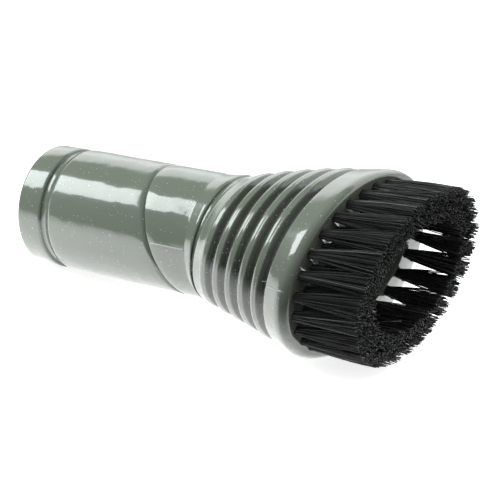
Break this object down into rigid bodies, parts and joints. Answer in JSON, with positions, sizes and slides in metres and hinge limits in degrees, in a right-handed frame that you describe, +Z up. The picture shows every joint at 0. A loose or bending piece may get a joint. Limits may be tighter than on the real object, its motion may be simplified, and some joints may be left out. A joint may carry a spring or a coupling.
{
  "type": "vacuum dusting brush",
  "caption": "Oval dusting brush head with a ridged flare and a ring of bristle tufts round an open mouth, carried by a round socket neck on a slanted swivel.",
  "frame": {"origin": "middle of the underside of the bounding box, on the ground that the brush lies on", "axes": "+X from the socket's open end to the bristles' tips, +Y across the brush's width, +Z up from the ground"},
  "size_m": [0.145, 0.0764, 0.0599],
  "materials": {
    "plastic": "glossy, grey-green with fine pale flecks",
    "bristles": "black bristles",
    "wire": "flat wire"
  },
  "bodies": {
    "neck": {"neck": "plastic"},
    "head": {"brush_head": "plastic", "outer_tufts": "bristles", "inner_tufts": "bristles", "outer_anchors": "wire", "inner_anchors": "wire"}
  },
  "joints": [
    {"name": "head_swivel", "type": "hinge", "parent": "neck", "child": "head", "pos_m": [-0.01729, 0, 0.02448], "axis": [0.9094, 0, 0.416], "continuous": true}
  ]
}
